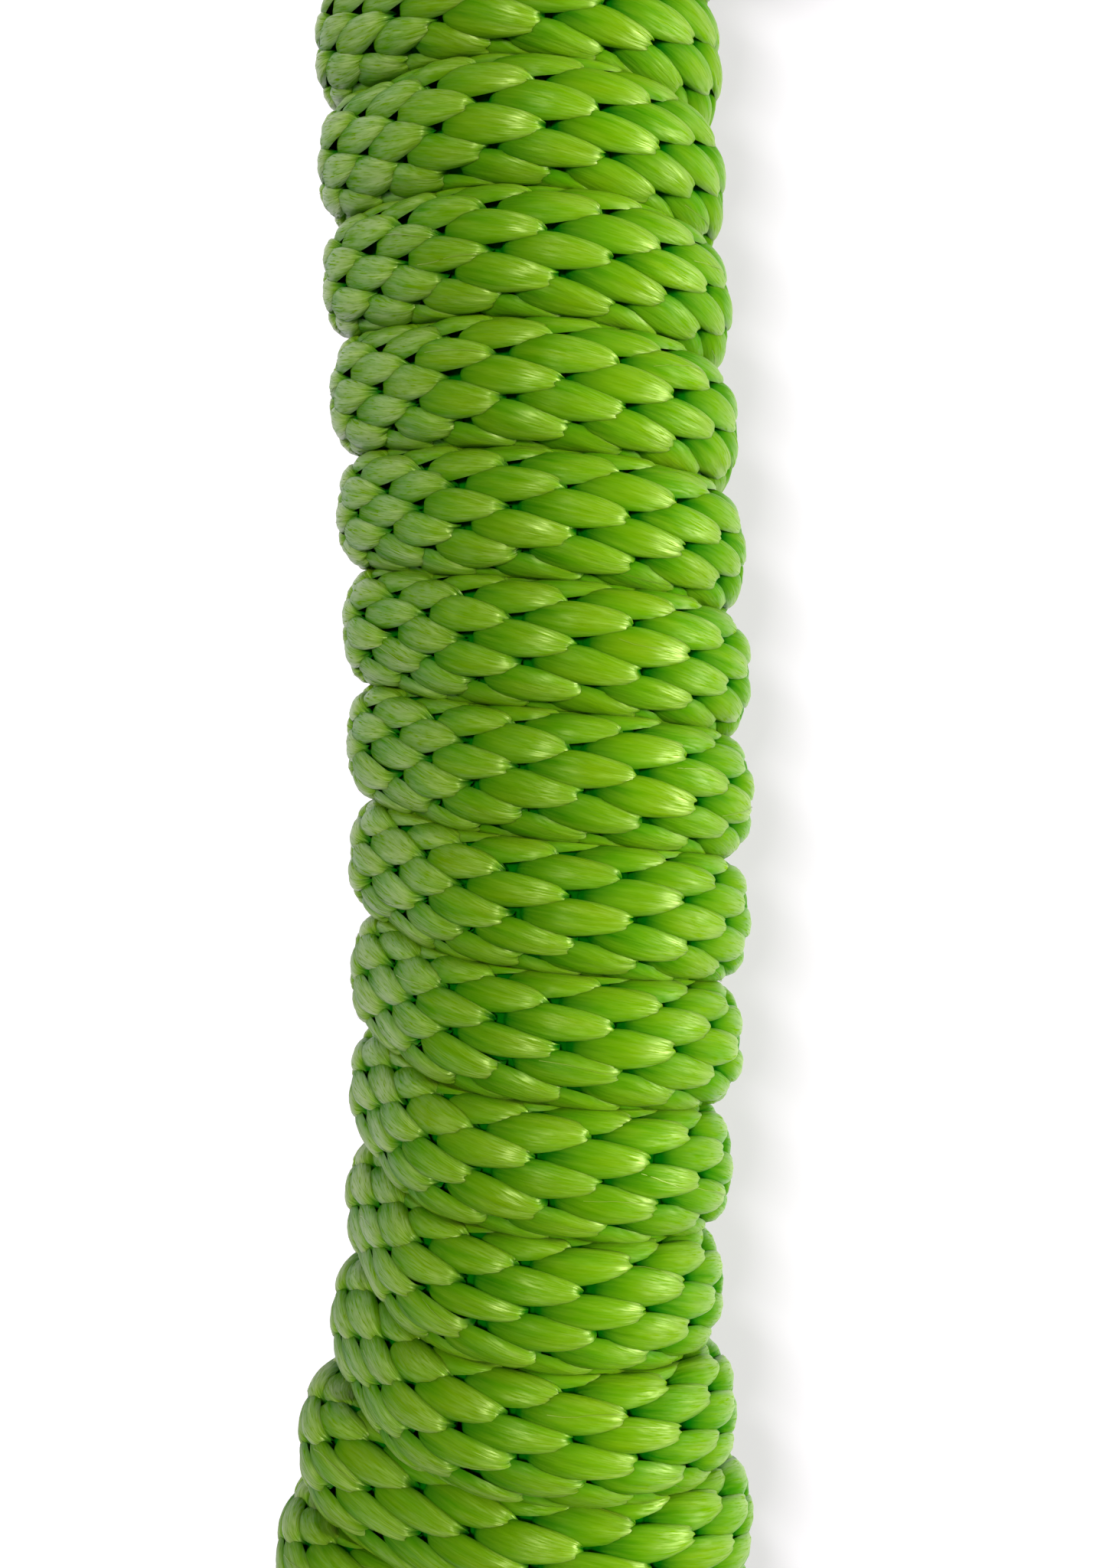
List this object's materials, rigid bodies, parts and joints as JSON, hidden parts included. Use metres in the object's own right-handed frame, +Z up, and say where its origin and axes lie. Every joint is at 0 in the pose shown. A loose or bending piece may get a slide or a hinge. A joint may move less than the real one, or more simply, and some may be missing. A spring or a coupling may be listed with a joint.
{
  "type": "rope",
  "caption": "Short wrapped hank of bright lime-green braided climbing rope: one end is wound in tight turns round its own doubled length, with an eye at one end and two loose, sealed tails",
  "frame": {"origin": "on the ground under the middle turn of the winding, where that turn touches it", "axes": "+Y runs along the column of turns towards the standing end, +Z points up from the ground, and +X completes the right-handed frame, to the right when the hank is seen from above with the standing end at the top"},
  "size_m": [0.0558, 0.3758, 0.0422],
  "materials": {
    "rope": "solid-braided lime-green filament yarn, silky",
    "end_band": "blank shrunk sleeve, satin charcoal",
    "sealed_end": "fused filament, glassy dark green"
  },
  "bodies": {
    "hank": {"standing_leg": "rope", "eye": "rope", "returning_leg": "rope", "fold": "rope", "winding": "rope", "tuck": "rope"},
    "standing_tail_near": {"standing_tail_inner": "rope"},
    "standing_tail_far": {"standing_tail_outer": "rope", "standing_end_band": "end_band", "standing_end_tip": "sealed_end"},
    "working_tail_near": {"working_tail_inner": "rope"},
    "working_tail_far": {"working_tail_outer": "rope", "working_end_band": "end_band", "working_end_tip": "sealed_end"}
  },
  "joints": [
    {"name": "standing_bend_near", "type": "hinge", "parent": "hank", "child": "standing_tail_near", "pos_m": [-0.00628, 0.1011, 0.0127], "axis": [0, 0, 1], "range_deg": [-30, 30]},
    {"name": "standing_bend_far", "type": "hinge", "parent": "standing_tail_near", "child": "standing_tail_far", "pos_m": [-0.01278, 0.1331, 0.006], "axis": [0, 0, 1], "range_deg": [-30, 30]},
    {"name": "working_bend_near", "type": "hinge", "parent": "hank", "child": "working_tail_near", "pos_m": [-0.00298, -0.1362, 0.005], "axis": [0, 0, 1], "range_deg": [-30, 30]},
    {"name": "working_bend_far", "type": "hinge", "parent": "working_tail_near", "child": "working_tail_far", "pos_m": [0.00602, -0.1682, 0.0057], "axis": [0, 0, 1], "range_deg": [-30, 30]}
  ]
}
